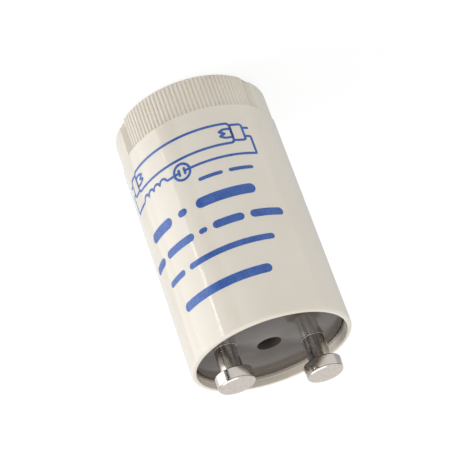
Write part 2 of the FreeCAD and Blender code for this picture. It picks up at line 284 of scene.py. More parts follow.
# %% [markdown]
# ## Turning a profile
# Almost every piece of the starter is round: a moulder's cavity, a lathe's cut. So each starts
# as its half section, a chain of points from the axis out, and bmesh.ops.spin turns it about Z.
# The same helper closes the seam and the poles and points the faces outwards.


# %% Profile helpers
MERGE_DISTANCE = 0.0001
MARGIN = 0.01
TINY = 1e-9
SHARP_ANGLE = math.radians(32)


def corner_round(centre, radius, start, end, steps):
    """Points of a rounding in a profile, between two angles in degrees."""
    places = []
    for n in range(steps + 1):
        angle = math.radians(start + (end - start) * n / steps)
        places.append((centre[0] + radius * math.cos(angle), centre[1] + radius * math.sin(angle)))
    return places


def spun(profile, steps, start_azimuth=0.0):
    """A bmesh in millimetres, turned from (radius, height) points about Z."""
    bm = bmesh.new()
    turn = Matrix.Rotation(math.radians(start_azimuth), 3, "Z")
    chain = [bm.verts.new(turn @ Vector((radius, 0, height))) for radius, height in profile]
    for first, second in zip(chain, chain[1:]):
        bm.edges.new((first, second))
    geometry = bm.verts[:] + bm.edges[:]
    bmesh.ops.spin(
        bm, geom=geometry, axis=(0, 0, 1), cent=(0, 0, 0), angle=2 * math.pi, steps=steps, use_merge=True
    )
    bmesh.ops.remove_doubles(bm, verts=bm.verts, dist=MERGE_DISTANCE)
    bmesh.ops.recalc_face_normals(bm, faces=bm.faces)
    return bm


def finished(bm, name, material, slot, *replaced):
    """Make the bmesh a piece of the object: in metres, smooth up to its sharp edges, on the frame."""
    bmesh.ops.scale(bm, verts=bm.verts, vec=(MM, MM, MM))
    mesh = bpy.data.meshes.new(name)
    bm.to_mesh(mesh)
    bm.free()
    mesh.shade_smooth()
    mesh.set_sharp_from_angle(angle=SHARP_ANGLE)
    piece = bpy.data.objects.new(name, mesh)
    bpy.context.scene.collection.objects.link(piece)
    mesh.materials.append(material)
    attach(piece, "root")
    if replaced:
        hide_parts(*replaced)
    print(f"{name}: {sum(len(face.vertices) - 2 for face in mesh.polygons)} triangles")


print("profile helpers ready")

# %% [markdown]
# ## Surface effects that several finishes share
# Moulded and dipped surfaces are never perfectly even: their colour drifts a little, their gloss
# varies in patches, and the skin has a faint orange peel. Metal shows the marks of its tool.
# Each effect is a node group with named inputs, so that every material can use its own values.
# A noise texture keeps mostly to the middle of its range, so its usual range is stretched first.

# %% Shared node groups
FLOAT, COLOUR = "NodeSocketFloat", "NodeSocketColor"
NOISE_LOW, NOISE_HIGH = 0.35, 0.65
FINE_PATCHES = 5.0
SPECK_FIELDS_PER_METRE = 700.0
SPECK_FIELD_LOW, SPECK_FIELD_HIGH = 0.45, 0.75
SPECK_SOFT_EDGE = 0.05


def new_group(name, inputs, outputs):
    """An empty shader node group with its sockets."""
    group = bpy.data.node_groups.new(name, "ShaderNodeTree")
    for label, kind, value in inputs:
        group.interface.new_socket(name=label, in_out="INPUT", socket_type=kind).default_value = value
    for label, kind in outputs:
        group.interface.new_socket(name=label, in_out="OUTPUT", socket_type=kind)
    return group, group.nodes.new("NodeGroupInput").outputs, group.nodes.new("NodeGroupOutput").inputs


def stretched(tree, noise):
    """Output from 0 to 1 for the usual range of a noise node."""
    return remapped(tree, noise.outputs[0], NOISE_LOW, NOISE_HIGH, 0.0, 1.0)


def mottle_group():
    """Slow drift between two colours, and gloss that varies in finer patches."""
    inputs = [
        ("Colour", COLOUR, (0.5, 0.5, 0.5, 1)),
        ("Drift Colour", COLOUR, (0.4, 0.4, 0.4, 1)),
        ("Patches per Metre", FLOAT, 150.0),
        ("Roughness Low", FLOAT, 0.2),
        ("Roughness High", FLOAT, 0.3),
    ]
    group, given, result = new_group("mottle", inputs, [("Colour", COLOUR), ("Roughness", FLOAT)])
    place = group.nodes.new("ShaderNodeTexCoord").outputs["Object"]
    slow = add_node(
        group, "ShaderNodeTexNoise", {"Vector": place, "Scale": given["Patches per Metre"], "Detail": 3.0}
    )
    fine_scale = maths(group, "MULTIPLY", given["Patches per Metre"], FINE_PATCHES)
    fine = add_node(group, "ShaderNodeTexNoise", {"Vector": place, "Scale": fine_scale, "Detail": 4.0})
    drift = stretched(group, slow)
    group.links.new(blended(group, drift, given["Colour"], given["Drift Colour"]), result["Colour"])
    patch = stretched(group, fine)
    spread = maths(group, "SUBTRACT", given["Roughness High"], given["Roughness Low"])
    roughness = maths(group, "MULTIPLY_ADD", patch, spread, given["Roughness Low"])
    group.links.new(roughness, result["Roughness"])
    return group


def skin_group():
    """Height of a moulded or dipped skin: a long wave with a fine orange peel on it."""
    inputs = [
        ("Waves per Metre", FLOAT, 200.0),
        ("Peel per Metre", FLOAT, 3000.0),
        ("Peel Share", FLOAT, 0.2),
    ]
    group, given, result = new_group("skin", inputs, [("Height", FLOAT)])
    place = group.nodes.new("ShaderNodeTexCoord").outputs["Object"]
    wave = add_node(
        group, "ShaderNodeTexNoise", {"Vector": place, "Scale": given["Waves per Metre"], "Detail": 1.0}
    )
    peel = add_node(
        group, "ShaderNodeTexNoise", {"Vector": place, "Scale": given["Peel per Metre"], "Detail": 2.0}
    )
    height = maths(group, "MULTIPLY_ADD", peel.outputs[0], given["Peel Share"], wave.outputs[0])
    group.links.new(height, result["Height"])
    return group


def speck_group():
    """Mask of sparse tiny specks, as dust or inclusions."""
    inputs = [("Specks per Metre", FLOAT, 900.0), ("Cover", FLOAT, 0.1)]
    group, given, result = new_group("specks", inputs, [("Mask", FLOAT)])
    place = group.nodes.new("ShaderNodeTexCoord").outputs["Object"]
    cells = add_node(group, "ShaderNodeTexVoronoi", {"Vector": place, "Scale": given["Specks per Metre"]})
    fields = add_node(
        group, "ShaderNodeTexNoise", {"Vector": place, "Scale": SPECK_FIELDS_PER_METRE, "Detail": 2.0}
    )
    reach = remapped(group, fields.outputs[0], SPECK_FIELD_LOW, SPECK_FIELD_HIGH, 0.0, 1.0)
    reach = maths(group, "MULTIPLY", reach, given["Cover"])
    inside = maths(group, "SUBTRACT", reach, cells.outputs["Distance"])
    group.links.new(remapped(group, inside, 0.0, SPECK_SOFT_EDGE, 0.0, 1.0), result["Mask"])
    return group


def place_group(tree, group, inputs):
    """A group node in a material, with its own values on its named inputs."""
    made = add_node(tree, "ShaderNodeGroup", None, node_tree=group)
    for key, value in inputs.items():
        made.inputs[key].default_value = value
    return made.outputs


def link_finish(tree, shader, finish):
    """Colour and roughness of a group on a shader."""
    tree.links.new(finish["Colour"], shader.inputs["Base Color"])
    tree.links.new(finish["Roughness"], shader.inputs["Roughness"])


def link_bump(tree, shader, height, strength, distance):
    """A height as bumps on a shader's normal. The distance is in metres."""
    bump = add_node(tree, "ShaderNodeBump", {"Height": height, "Strength": strength, "Distance": distance})
    tree.links.new(bump.outputs["Normal"], shader.inputs["Normal"])


mottle, skin, specks = mottle_group(), skin_group(), speck_group()
print("shared effects:", mottle.name, skin.name, specks.name)

# %% [markdown]
# ## The canister's plastic
# Cream-white styrene or polycarbonate with a good gloss. Light enters it a little, so its
# shadows stay warm. The wall isn't quite true, which makes the reflected line along it waver,
# and it carries a few faint specks.

# %% Canister plastic
DUST_STRENGTH = 0.18
DUST_COLOUR = (0.35, 0.30, 0.24, 1)

canister_plastic, tree, shader = new_material("canister_plastic", ior=1.5, subsurface_scale=0.0006)
shader.inputs["Subsurface Weight"].default_value = 0.3
shader.inputs["Subsurface Radius"].default_value = (1.0, 0.8, 0.55)
even = place_group(tree, mottle, {
    "Colour": (0.80, 0.75, 0.665, 1),
    "Drift Colour": (0.775, 0.72, 0.63, 1),
    "Patches per Metre": 90.0,
    "Roughness Low": 0.08,
    "Roughness High": 0.13,
})
dust = place_group(tree, specks, {"Specks per Metre": 1100.0, "Cover": 0.07})
dusty = maths(tree, "MULTIPLY", dust["Mask"], DUST_STRENGTH)
tree.links.new(blended(tree, dusty, even["Colour"], DUST_COLOUR), shader.inputs["Base Color"])
tree.links.new(even["Roughness"], shader.inputs["Roughness"])
peel = place_group(tree, skin, {"Waves per Metre": 260.0, "Peel per Metre": 3500.0, "Peel Share": 0.05})
link_bump(tree, shader, peel["Height"], strength=0.5, distance=0.04 * MM)
print("canister plastic ready")

# %% [markdown]
# ## The canister
# One moulding: a smooth wall, a thin rounded rim with a bead that holds the board, and the
# stepped-in grip. The whole wall, inside and out, is one closed profile, spun in eight steps to
# a rib. The ribs and the two plain lugs are then pressed into the grip's band by a rule that
# gives the radius at each azimuth and height, as a mould maker would cut them into the cavity.
# The lugs stop a millimetre short of the closed end, and the ribs run on to it.

# %% Canister sizes
BODY_RADIUS = 10.75
CANISTER_LENGTH = 36.7
CAVITY_RADIUS = 9.8
SEAT_RADIUS = 10.1
END_WALL = 1.2
GATE_RADIUS, GATE_DEPTH, GATE_ROUND = 1.8, 0.25, 0.08
GRIP_HEIGHT = 5.5
GRIP_RADIUS = 10.15
GRIP_VALLEY_RADIUS = 9.93
GRIP_GAP_RADIUS = 9.7
GRIP_CAVITY_RADIUS = 8.82
GRIP_END_ROUND = 0.6
GRIP_FOOT_ROUND = 0.1
GRIP_FOOT_MIDDLE = 0.3 * GRIP_FOOT_ROUND
SHOULDER_ROUND = 0.16
RIM_ROUND = 0.4
RIM_INNER_ROUND = 0.06
DISC_TOP, DISC_BOTTOM = 35.4, 33.4
BEAD_HEIGHT, BEAD_LENGTH, BEAD_GAP = 0.05, 0.5, 0.04
BEAD_MIDDLE = DISC_TOP + BEAD_GAP + BEAD_LENGTH / 2
BEAD_STEPS = 3
print(f"canister {CANISTER_LENGTH} mm long, grip {GRIP_HEIGHT} mm high")

# %% Rib and lug sizes
RIBS_IN_FULL_TURN = 110
RIBS_PER_SIDE = 34
STEPS_PER_RIB = 8
RIB_PITCH = 360 / RIBS_IN_FULL_TURN
RIB_FOOT_SHARE, RIB_CREST_SHARE = 0.92, 0.4
LUG_AZIMUTH = 30.0
LUG_RADIUS = 10.63
LUG_HALF_WIDTH = 5.35
LUG_END_GAP = 1.0
LUG_END_ROUND = 0.25
LUG_ROUND_SHARES = (0.0, 0.03, 0.13, 0.3, 0.5, 0.75, 1.0)
LUG_ROWS = [LUG_END_GAP + LUG_END_ROUND * share for share in LUG_ROUND_SHARES]
print(f"{2 * RIBS_PER_SIDE} ribs, one every {RIB_PITCH:.2f} degrees")


# %% Canister profile and the grip's rule
def canister_profile():
    """Half section of the wall: up the outside from the closed end, over the rim, down the inside."""
    gate_inner, gate_outer = GATE_RADIUS - GATE_ROUND, GATE_RADIUS + GATE_ROUND
    bead = []
    for n in range(-BEAD_STEPS, BEAD_STEPS + 1):
        height = BEAD_HEIGHT * math.cos(math.pi * n / (2 * BEAD_STEPS)) ** 2
        bead.append((SEAT_RADIUS - height, BEAD_MIDDLE - BEAD_LENGTH / 2 * n / BEAD_STEPS))
    grip_end = (GRIP_RADIUS - GRIP_END_ROUND, GRIP_END_ROUND)
    shoulder = (BODY_RADIUS - SHOULDER_ROUND, GRIP_HEIGHT + SHOULDER_ROUND)
    rim = (BODY_RADIUS - RIM_ROUND, CANISTER_LENGTH - RIM_ROUND)
    cavity_step = GRIP_HEIGHT + BODY_RADIUS - CAVITY_RADIUS
    inner_rim = (SEAT_RADIUS + RIM_INNER_ROUND, CANISTER_LENGTH - RIM_INNER_ROUND)
    return [
        (0, GATE_DEPTH),
        *corner_round((gate_inner, GATE_DEPTH - GATE_ROUND), GATE_ROUND, 90, 0, 3),
        *corner_round((gate_outer, GATE_ROUND), GATE_ROUND, 180, 270, 3),
        *corner_round(grip_end, GRIP_END_ROUND, -90, 0, 10),
        *[(GRIP_RADIUS, height) for height in LUG_ROWS],
        (GRIP_RADIUS, GRIP_HEIGHT - GRIP_FOOT_ROUND),
        (GRIP_RADIUS + GRIP_FOOT_MIDDLE, GRIP_HEIGHT - GRIP_FOOT_MIDDLE),
        (GRIP_RADIUS + GRIP_FOOT_ROUND, GRIP_HEIGHT),
        *corner_round(shoulder, SHOULDER_ROUND, -90, 0, 5),
        *corner_round(rim, RIM_ROUND, 0, 90, 8),
        *corner_round(inner_rim, RIM_INNER_ROUND, 90, 180, 3),
        *bead,
        (SEAT_RADIUS, DISC_BOTTOM),
        (CAVITY_RADIUS, DISC_BOTTOM),
        (CAVITY_RADIUS, cavity_step),
        (GRIP_CAVITY_RADIUS, cavity_step),
        (GRIP_CAVITY_RADIUS, END_WALL),
        (0, END_WALL),
    ]


def end_limit(radius, end_round, height):
    """Radius at a height of a plug that is rounded off at the closed end."""
    if height >= end_round:
        return radius
    return radius - end_round + math.sqrt(end_round**2 - (end_round - height) ** 2)


def rib_radius(azimuth):
    """Radius of the ribbed section. The fields of ribs are centred a quarter turn from the lugs."""
    from_field = (azimuth - LUG_AZIMUTH) % 180 - 90
    pitches = from_field / RIB_PITCH
    if abs(pitches) > RIBS_PER_SIDE / 2:
        return GRIP_GAP_RADIUS
    from_rib = abs(pitches % 1 - 0.5)
    rise = (RIB_FOOT_SHARE / 2 - from_rib) / (RIB_FOOT_SHARE / 2 - RIB_CREST_SHARE / 2)
    return GRIP_VALLEY_RADIUS + (GRIP_RADIUS - GRIP_VALLEY_RADIUS) * min(max(rise, 0.0), 1.0)


def grip_radius(azimuth, height):
    """Radius of the grip's skin: the ribs, or a lug where that stands further out."""
    ribs = min(rib_radius(azimuth), end_limit(GRIP_RADIUS, GRIP_END_ROUND, height))
    if height <= LUG_END_GAP:
        return ribs
    across = max(abs(math.sin(math.radians(azimuth - LUG_AZIMUTH))), TINY)
    lug = end_limit(LUG_RADIUS, LUG_END_ROUND, height - LUG_END_GAP)
    return max(ribs, min(LUG_HALF_WIDTH / across, lug))


print(len(canister_profile()), "points in the canister's profile")

# %% Canister mesh
FIELD_AZIMUTH = LUG_AZIMUTH - 90

bm = spun(canister_profile(), RIBS_IN_FULL_TURN * STEPS_PER_RIB, FIELD_AZIMUTH)
skin_start = GRIP_RADIUS - GRIP_END_ROUND - MARGIN
skin_end = GRIP_HEIGHT - GRIP_FOOT_ROUND + MARGIN
moved = 0
for vertex in bm.verts:
    radius = math.hypot(vertex.co.x, vertex.co.y)
    if radius > skin_start and vertex.co.z < skin_end:
        azimuth = math.degrees(math.atan2(vertex.co.y, vertex.co.x))
        stretch = grip_radius(azimuth, vertex.co.z) / radius
        vertex.co.x *= stretch
        vertex.co.y *= stretch
        moved += 1
print(moved, "vertices placed on the grip")
finished(bm, "moulded_canister", canister_plastic, "canister_plastic", "canister")

# %% [markdown]
# ## The print
# Starters carry dark blue pad-printed ink: here the outline of a lamp circuit (tube, filaments,
# choke coil and starter switch) and rows of plain bars below it. Each stroke is a curve with a
# round section. Turned into a mesh, it is pressed flat to the thickness of ink, then bent round
# the wall, reading upright when the closed end is up.

# %% Ink
ink, tree, shader = new_material("print_ink", ior=1.5)
film = place_group(tree, mottle, {
    "Colour": (0.03, 0.095, 0.36, 1),
    "Drift Colour": (0.045, 0.13, 0.42, 1),
    "Patches per Metre": 900.0,
    "Roughness Low": 0.24,
    "Roughness High": 0.38,
})
link_finish(tree, shader, film)
screened = place_group(tree, skin, {"Waves per Metre": 2500.0, "Peel per Metre": 9000.0, "Peel Share": 0.3})
link_bump(tree, shader, screened["Height"], strength=0.4, distance=0.01 * MM)
print("ink ready")

# %% Print sizes and paths
PRINT_AZIMUTH = 317.0
PRINT_HEIGHT = 11.3
INK_DEPTH = 0.008
LINE_HALF_WIDTH = 0.18
INK_STEP = 0.16
CIRCLE_STEPS = 24
STROKE_END_SHARES = (0.02, 0.12, 0.3, 0.55, 0.8)


def rounded_box(left, low, right, high, radius):
    """Closed path round a box with rounded corners."""
    corners = ((right, high, 0), (left, high, 90), (left, low, 180), (right, low, 270))
    places = []
    for x, y, start in corners:
        centre = (x - radius if x == right else x + radius, y - radius if y == high else y + radius)
        places += corner_round(centre, radius, start, start + 90, 4)
    return places + places[:1]


def circle_path(x, y, radius):
    """Closed path round a circle."""
    return corner_round((x, y), radius, 0, 360, CIRCLE_STEPS)


def coil_path(left, y, bump_radius, bumps):
    """Row of half circles, as a choke is drawn."""
    places = []
    for n in range(bumps):
        places += corner_round((left + bump_radius * (2 * n + 1), y), bump_radius, 180, 0, 8)
    return places


print(f"lines {2 * LINE_HALF_WIDTH} mm wide and {INK_DEPTH} mm proud of the wall")

# %% The lamp circuit, in millimetres to the right and up
FILAMENT = ((7.9, 0.65), (6.9, 0.65), (6.2, 0.98), (7.0, 1.3), (6.2, 1.62), (6.9, 1.95), (7.9, 1.95))
CIRCUIT = [
    rounded_box(-7.9, -0.2, 7.9, 2.8, 0.5),
    *[rounded_box(side * 8.75 - 0.85, 0.1, side * 8.75 + 0.85, 2.5, 0.3) for side in (-1, 1)],
    *[[(side * x, y) for x, y in FILAMENT] for side in (-1, 1)],
    *[[(side * 9.6, 1.95), (side * 10.6, 1.95)] for side in (-1, 1)],
    [(-9.6, 0.65), (-10.5, 0.65), (-10.5, -2.0), (-7.4, -2.0)],
    coil_path(-7.4, -2.0, 0.62, 4),
    [(-2.44, -2.0), (-0.4, -2.0)],
    [(9.6, 0.65), (10.5, 0.65), (10.5, -2.0), (0.4, -2.0)],
    circle_path(0.0, -2.0, 1.15),
    [(-0.4, -1.45), (-0.4, -2.55)],
    [(0.4, -1.45), (0.4, -2.55)],
]
# left, right, middle height and half width of the bars
BARS = (
    (1.7, 5.0, -4.1, 0.26), (5.8, 9.2, -4.1, 0.26),
    (-8.6, -3.7, -7.25, 0.72), (-2.5, -1.1, -7.25, 0.5), (0.3, 8.4, -7.25, 0.72),
    (-10.7, -7.3, -10.95, 0.55), (-6.5, -1.3, -10.95, 0.55), (-0.5, 0.7, -10.95, 0.36),
    (1.5, 5.7, -10.95, 0.55), (6.5, 11.2, -10.95, 0.55),
    (-7.9, -4.3, -14.5, 0.42), (-3.4, 8.6, -14.5, 0.42),
    (-6.4, 6.8, -18.8, 0.62),
)
print(len(CIRCUIT), "lines and", len(BARS), "bars to print")


# %% Printing on the wall
def stroke_points(path, half_width):
    """Points a short step apart on a path, each with its share of the full width: ends are round."""
    lengths = [0.0]
    for first, second in zip(path, path[1:]):
        lengths.append(lengths[-1] + math.dist(first, second))
    whole = lengths[-1]
    closed = math.dist(path[0], path[-1]) < MARGIN
    steps = math.ceil(whole / INK_STEP)
    if closed:
        ends = []
        inner = [whole * n / steps for n in range(steps)]
    else:
        ends = [half_width * share for share in STROKE_END_SHARES]
        inner = [half_width + (whole - 2 * half_width) * n / steps for n in range(steps + 1)]
    made = []
    for along in ends + inner + [whole - end for end in reversed(ends)]:
        part = next(n for n in range(len(path) - 1) if along <= lengths[n + 1] + TINY)
        share = (along - lengths[part]) / max(lengths[part + 1] - lengths[part], TINY)
        place = Vector(path[part]).lerp(Vector(path[part + 1]), share)
        from_end = min(along, whole - along, half_width) / half_width
        width = 1.0 if closed else math.sqrt(1 - (1 - from_end) ** 2)
        made.append((place, width))
    return made, closed


def inked(paths, half_width):
    """Mesh of flattened strokes, lying in the plane of the drawing."""
    curve = bpy.data.curves.new("strokes", "CURVE")
    curve.dimensions = "3D"
    curve.bevel_depth = half_width
    curve.bevel_resolution = 3
    for path in paths:
        made, closed = stroke_points(path, half_width)
        spline = curve.splines.new("POLY")
        spline.points.add(len(made) - 1)
        for point, (place, width) in zip(spline.points, made):
            point.co = (place.x, place.y, 0, 1)
            point.radius = width
        spline.use_cyclic_u = closed
    drawn = bpy.data.objects.new("strokes", curve)
    mesh = bpy.data.meshes.new_from_object(drawn)
    bm = bmesh.new()
    bm.from_mesh(mesh)
    bmesh.ops.scale(bm, verts=bm.verts, vec=(1, 1, INK_DEPTH / half_width))
    bpy.data.objects.remove(drawn)
    bpy.data.curves.remove(curve)
    bpy.data.meshes.remove(mesh)
    return bm


bm = inked(CIRCUIT, LINE_HALF_WIDTH)
for half_width in sorted({bar[3] for bar in BARS}):
    alike = [[(left, up), (right, up)] for left, right, up, width in BARS if width == half_width]
    bars = inked(alike, half_width)
    bars_mesh = bpy.data.meshes.new("bars")
    bars.to_mesh(bars_mesh)
    bars.free()
    bm.from_mesh(bars_mesh)
    bpy.data.meshes.remove(bars_mesh)
for vertex in bm.verts:
    right, up, proud = vertex.co
    turn = math.radians(PRINT_AZIMUTH) - right / BODY_RADIUS
    vertex.co = Vector((math.cos(turn), math.sin(turn), 0)) * (BODY_RADIUS + proud)
    vertex.co.z = PRINT_HEIGHT - up
bmesh.ops.recalc_face_normals(bm, faces=bm.faces)
finished(bm, "pad_print", ink, "canister_plastic")

# %% [markdown]
# ## The base disc
# A punched laminate board, dark grey and smooth enough to mirror the pins. It is cut from a
# sheet, so the mesh starts as one too: the outline and three round holes are filled as a flat
# face, thickened, and the punched edges are broken with a small bevel. A narrow ring close to
# its rim is painted dark and made rough, as painted shade of the gap between board and wall.

# %% Board of the disc
# Painted shade: a dark, rough ring close to the board's rim stands for the shadow in the gap between board
# and wall.
GAP_SHADE_FROM, GAP_SHADE_TO = 9.62, 9.78
GAP_SHADE_COLOUR = (0.022, 0.018, 0.015, 1)
GAP_SHADE_ROUGHNESS = 0.45
GRIT_STRENGTH = 0.5
GRIT_COLOUR = (0.17, 0.155, 0.145, 1)

disc_board, tree, shader = new_material("disc_board", ior=1.42, specular_ior_level=0.42)
fibre = place_group(tree, mottle, {
    "Colour": (0.096, 0.079, 0.066, 1),
    "Drift Colour": (0.083, 0.068, 0.057, 1),
    "Patches per Metre": 260.0,
    "Roughness Low": 0.1,
    "Roughness High": 0.17,
})
grit = place_group(tree, specks, {"Specks per Metre": 1600.0, "Cover": 0.12})
gritty = maths(tree, "MULTIPLY", grit["Mask"], GRIT_STRENGTH)
board_colour = blended(tree, gritty, fibre["Colour"], GRIT_COLOUR)
place = tree.nodes.new("ShaderNodeTexCoord")
axes = add_node(tree, "ShaderNodeSeparateXYZ", {"Vector": place.outputs["Object"]}).outputs
from_centre = maths(tree, "MULTIPLY", axes["X"], axes["X"])
from_centre = maths(tree, "SQRT", maths(tree, "MULTIPLY_ADD", axes["Y"], axes["Y"], from_centre))
# Painted shade of the gap by the wall: the ring near the rim is darkened and roughened.
painted_gap_shade = remapped(tree, from_centre, GAP_SHADE_FROM * MM, GAP_SHADE_TO * MM, 0.0, 1.0)
whole_colour = blended(tree, painted_gap_shade, board_colour, GAP_SHADE_COLOUR)
tree.links.new(whole_colour, shader.inputs["Base Color"])
whole_roughness = maths(tree, "MULTIPLY_ADD", painted_gap_shade, GAP_SHADE_ROUGHNESS, fibre["Roughness"])
tree.links.new(whole_roughness, shader.inputs["Roughness"])
pressed = place_group(tree, skin, {"Waves per Metre": 420.0, "Peel per Metre": 5200.0, "Peel Share": 0.12})
link_bump(tree, shader, pressed["Height"], strength=0.6, distance=0.03 * MM)
print("board ready")

# %% Base disc
DISC_RADIUS = 9.9
DISC_HOLE_RADIUS = 1.6
PIN_HOLE_RADIUS = 1.15
PIN_X = 6.35
PUNCH_BEVEL = 0.06
RIM_SEGMENTS, HOLE_SEGMENTS = 160, 64
RIM_ANGLE = math.radians(60)


def ring(bm, radius, x, height, segments):
    """A circle of edges lying flat at a height."""
    place = Matrix.Translation((x, 0, height))
    made = bmesh.ops.create_circle(bm, cap_ends=False, segments=segments, radius=radius, matrix=place)
    return {edge for vertex in made["verts"] for edge in vertex.link_edges}


bm = bmesh.new()
outline = ring(bm, DISC_RADIUS, 0, DISC_TOP, RIM_SEGMENTS)
for hole_radius, hole_x in ((DISC_HOLE_RADIUS, 0), (PIN_HOLE_RADIUS, -PIN_X), (PIN_HOLE_RADIUS, PIN_X)):
    outline |= ring(bm, hole_radius, hole_x, DISC_TOP, HOLE_SEGMENTS)
bmesh.ops.triangle_fill(bm, use_beauty=True, edges=list(outline))
thick = bmesh.ops.extrude_face_region(bm, geom=bm.faces[:])
lowered = [item for item in thick["geom"] if isinstance(item, bmesh.types.BMVert)]
bmesh.ops.translate(bm, verts=lowered, vec=(0, 0, DISC_BOTTOM - DISC_TOP))
bmesh.ops.recalc_face_normals(bm, faces=bm.faces)
rims = [edge for edge in bm.edges if edge.calc_face_angle(0) > RIM_ANGLE]
bmesh.ops.bevel(
    bm, geom=rims, offset=PUNCH_BEVEL, offset_type="OFFSET", segments=3, profile=0.5,
    affect="EDGES", material=-1
)
print("disc rims bevelled:", len(rims), "edges")
finished(bm, "punched_disc", disc_board, "disc_board", "base_disc")

# %% [markdown]
# ## The contact pins
# Each pin is turned from brass bar and nickel-plated: a flat head that slides into the socket's
# keyhole, a neck, a collar that seats on the board, and a shank riveted over below. The cutter
# leaves fine rings. They are satin on the flat faces and nearly polished on the round sides, so
# the sides carry crisp dark and bright bands from the studio. Where the neck slides in its slot,
# it is streaked lengthwise. So one metal has three looks. Two masks tell them apart: how far a
# face points up or down, and how far it is from the pin's axis.

# %% Pin metal: the masks of its flat faces and necks
RINGS_PER_METRE = 9000.0
FACE_TILT_FROM, FACE_TILT_TO = 0.6, 0.95
NECK_TO, SIDE_FROM = 1.6, 1.9

pin_metal, tree, shader = new_material("pin_metal", metallic=1.0)
place = tree.nodes.new("ShaderNodeTexCoord")
axes = add_node(tree, "ShaderNodeSeparateXYZ", {"Vector": place.outputs["Object"]}).outputs
from_axis_x = maths(tree, "SUBTRACT", maths(tree, "ABSOLUTE", axes["X"]), PIN_X * MM)
off_axis = maths(tree, "MULTIPLY", from_axis_x, from_axis_x)
off_axis = maths(tree, "SQRT", maths(tree, "MULTIPLY_ADD", axes["Y"], axes["Y"], off_axis))
lathe = maths(tree, "ADD", off_axis, axes["Z"])
rings = add_node(
    tree, "ShaderNodeTexNoise", {"W": lathe, "Scale": RINGS_PER_METRE, "Detail": 3.0}, noise_dimensions="1D"
)
face_up = add_node(tree, "ShaderNodeSeparateXYZ", {"Vector": place.outputs["Normal"]}).outputs["Z"]
flat_face = remapped(tree, maths(tree, "ABSOLUTE", face_up), FACE_TILT_FROM, FACE_TILT_TO, 0.0, 1.0)
neck = remapped(tree, off_axis, NECK_TO * MM, SIDE_FROM * MM, 1.0, 0.0)
print("masks of the pins ready")

# %% Pin metal: colour, gloss and marks
SCRATCH_SCALE, SCRATCH_STRETCH, SCRATCH_AZIMUTH = 2500.0, (1.0, 5.0, 1.0), math.radians(35)
FACE_DARK, FACE_BRIGHT = (0.53, 0.48, 0.435, 1), (0.77, 0.705, 0.65, 1)
FACE_ROUGHNESS, SCRATCH_ROUGHNESS = 0.28, 0.1
STREAK_SCALE, STREAK_STRETCH = 2600.0, (1.0, 1.0, 0.1)
STREAK_LOW, STREAK_HIGH = 0.38, 0.62
STREAK_DARK, STREAK_BRIGHT = (0.42, 0.41, 0.395, 1), (0.87, 0.85, 0.82, 1)
NECK_ROUGHNESS = 0.06
SCRATCH_HEIGHT = 1.5

tarnish = place_group(tree, mottle, {
    "Colour": (0.66, 0.62, 0.58, 1),
    "Drift Colour": (0.58, 0.545, 0.505, 1),
    "Patches per Metre": 500.0,
    "Roughness Low": 0.12,
    "Roughness High": 0.22,
})


def drawn_noise(stretch, azimuth, scale, detail):
    """Noise node on the pins, stretched along one axis and turned about Z."""
    mapping = add_node(tree, "ShaderNodeMapping", {"Vector": place.outputs["Object"], "Scale": stretch})
    mapping.inputs["Rotation"].default_value = (0, 0, azimuth)
    inputs = {"Vector": mapping.outputs[0], "Scale": scale, "Detail": detail}
    return add_node(tree, "ShaderNodeTexNoise", inputs)


scratched = stretched(tree, drawn_noise(SCRATCH_STRETCH, SCRATCH_AZIMUTH, SCRATCH_SCALE, 4.0))
face_colour = blended(tree, scratched, FACE_DARK, FACE_BRIGHT)
streaks = drawn_noise(STREAK_STRETCH, 0, STREAK_SCALE, 3.0)
streaked = remapped(tree, streaks.outputs[0], STREAK_LOW, STREAK_HIGH, 0.0, 1.0)
neck_colour = blended(tree, streaked, STREAK_DARK, STREAK_BRIGHT)
side_colour = blended(tree, neck, tarnish["Colour"], neck_colour)
tree.links.new(blended(tree, flat_face, side_colour, face_colour), shader.inputs["Base Color"])
side_roughness = maths(tree, "MULTIPLY_ADD", neck, NECK_ROUGHNESS, tarnish["Roughness"])
face_roughness = maths(tree, "MULTIPLY_ADD", scratched, SCRATCH_ROUGHNESS, FACE_ROUGHNESS)
rougher = maths(tree, "SUBTRACT", face_roughness, side_roughness)
pin_roughness = maths(tree, "MULTIPLY_ADD", flat_face, rougher, side_roughness)
tree.links.new(pin_roughness, shader.inputs["Roughness"])
face_marks = maths(tree, "MULTIPLY", scratched, flat_face)
marks = maths(tree, "MULTIPLY_ADD", face_marks, SCRATCH_HEIGHT, rings.outputs[0])
link_bump(tree, shader, marks, strength=0.3, distance=0.006 * MM)
print("pin metal ready")

# %% Contact pins
PIN_TOP = 40.7
HEAD_RADIUS, HEAD_HEIGHT, HEAD_CHAMFER = 2.5, 1.75, 0.14
HEAD_TAPER = 0.085
HEAD_LOW_ROUND = 0.2
GROOVE_DEPTH, GROOVE_WIDTH, GROOVE_SLOPE = 0.1, 0.12, 0.2
NECK_RADIUS, NECK_FILLET = 1.5, 0.12
COLLAR_RADIUS, COLLAR_HEIGHT = 1.53, 0.06
SHANK_RADIUS = 1.1
RIVET_RADIUS, RIVET_HEIGHT = 1.6, 0.35
TAIL_LENGTH, BORE_RADIUS, BORE_DEPTH = 1.5, 0.7, 3.2
EDGE_BREAK = 0.04
PIN_STEPS = 128
TAIL_END = DISC_BOTTOM - TAIL_LENGTH
HEAD_BOTTOM = PIN_TOP - HEAD_HEIGHT


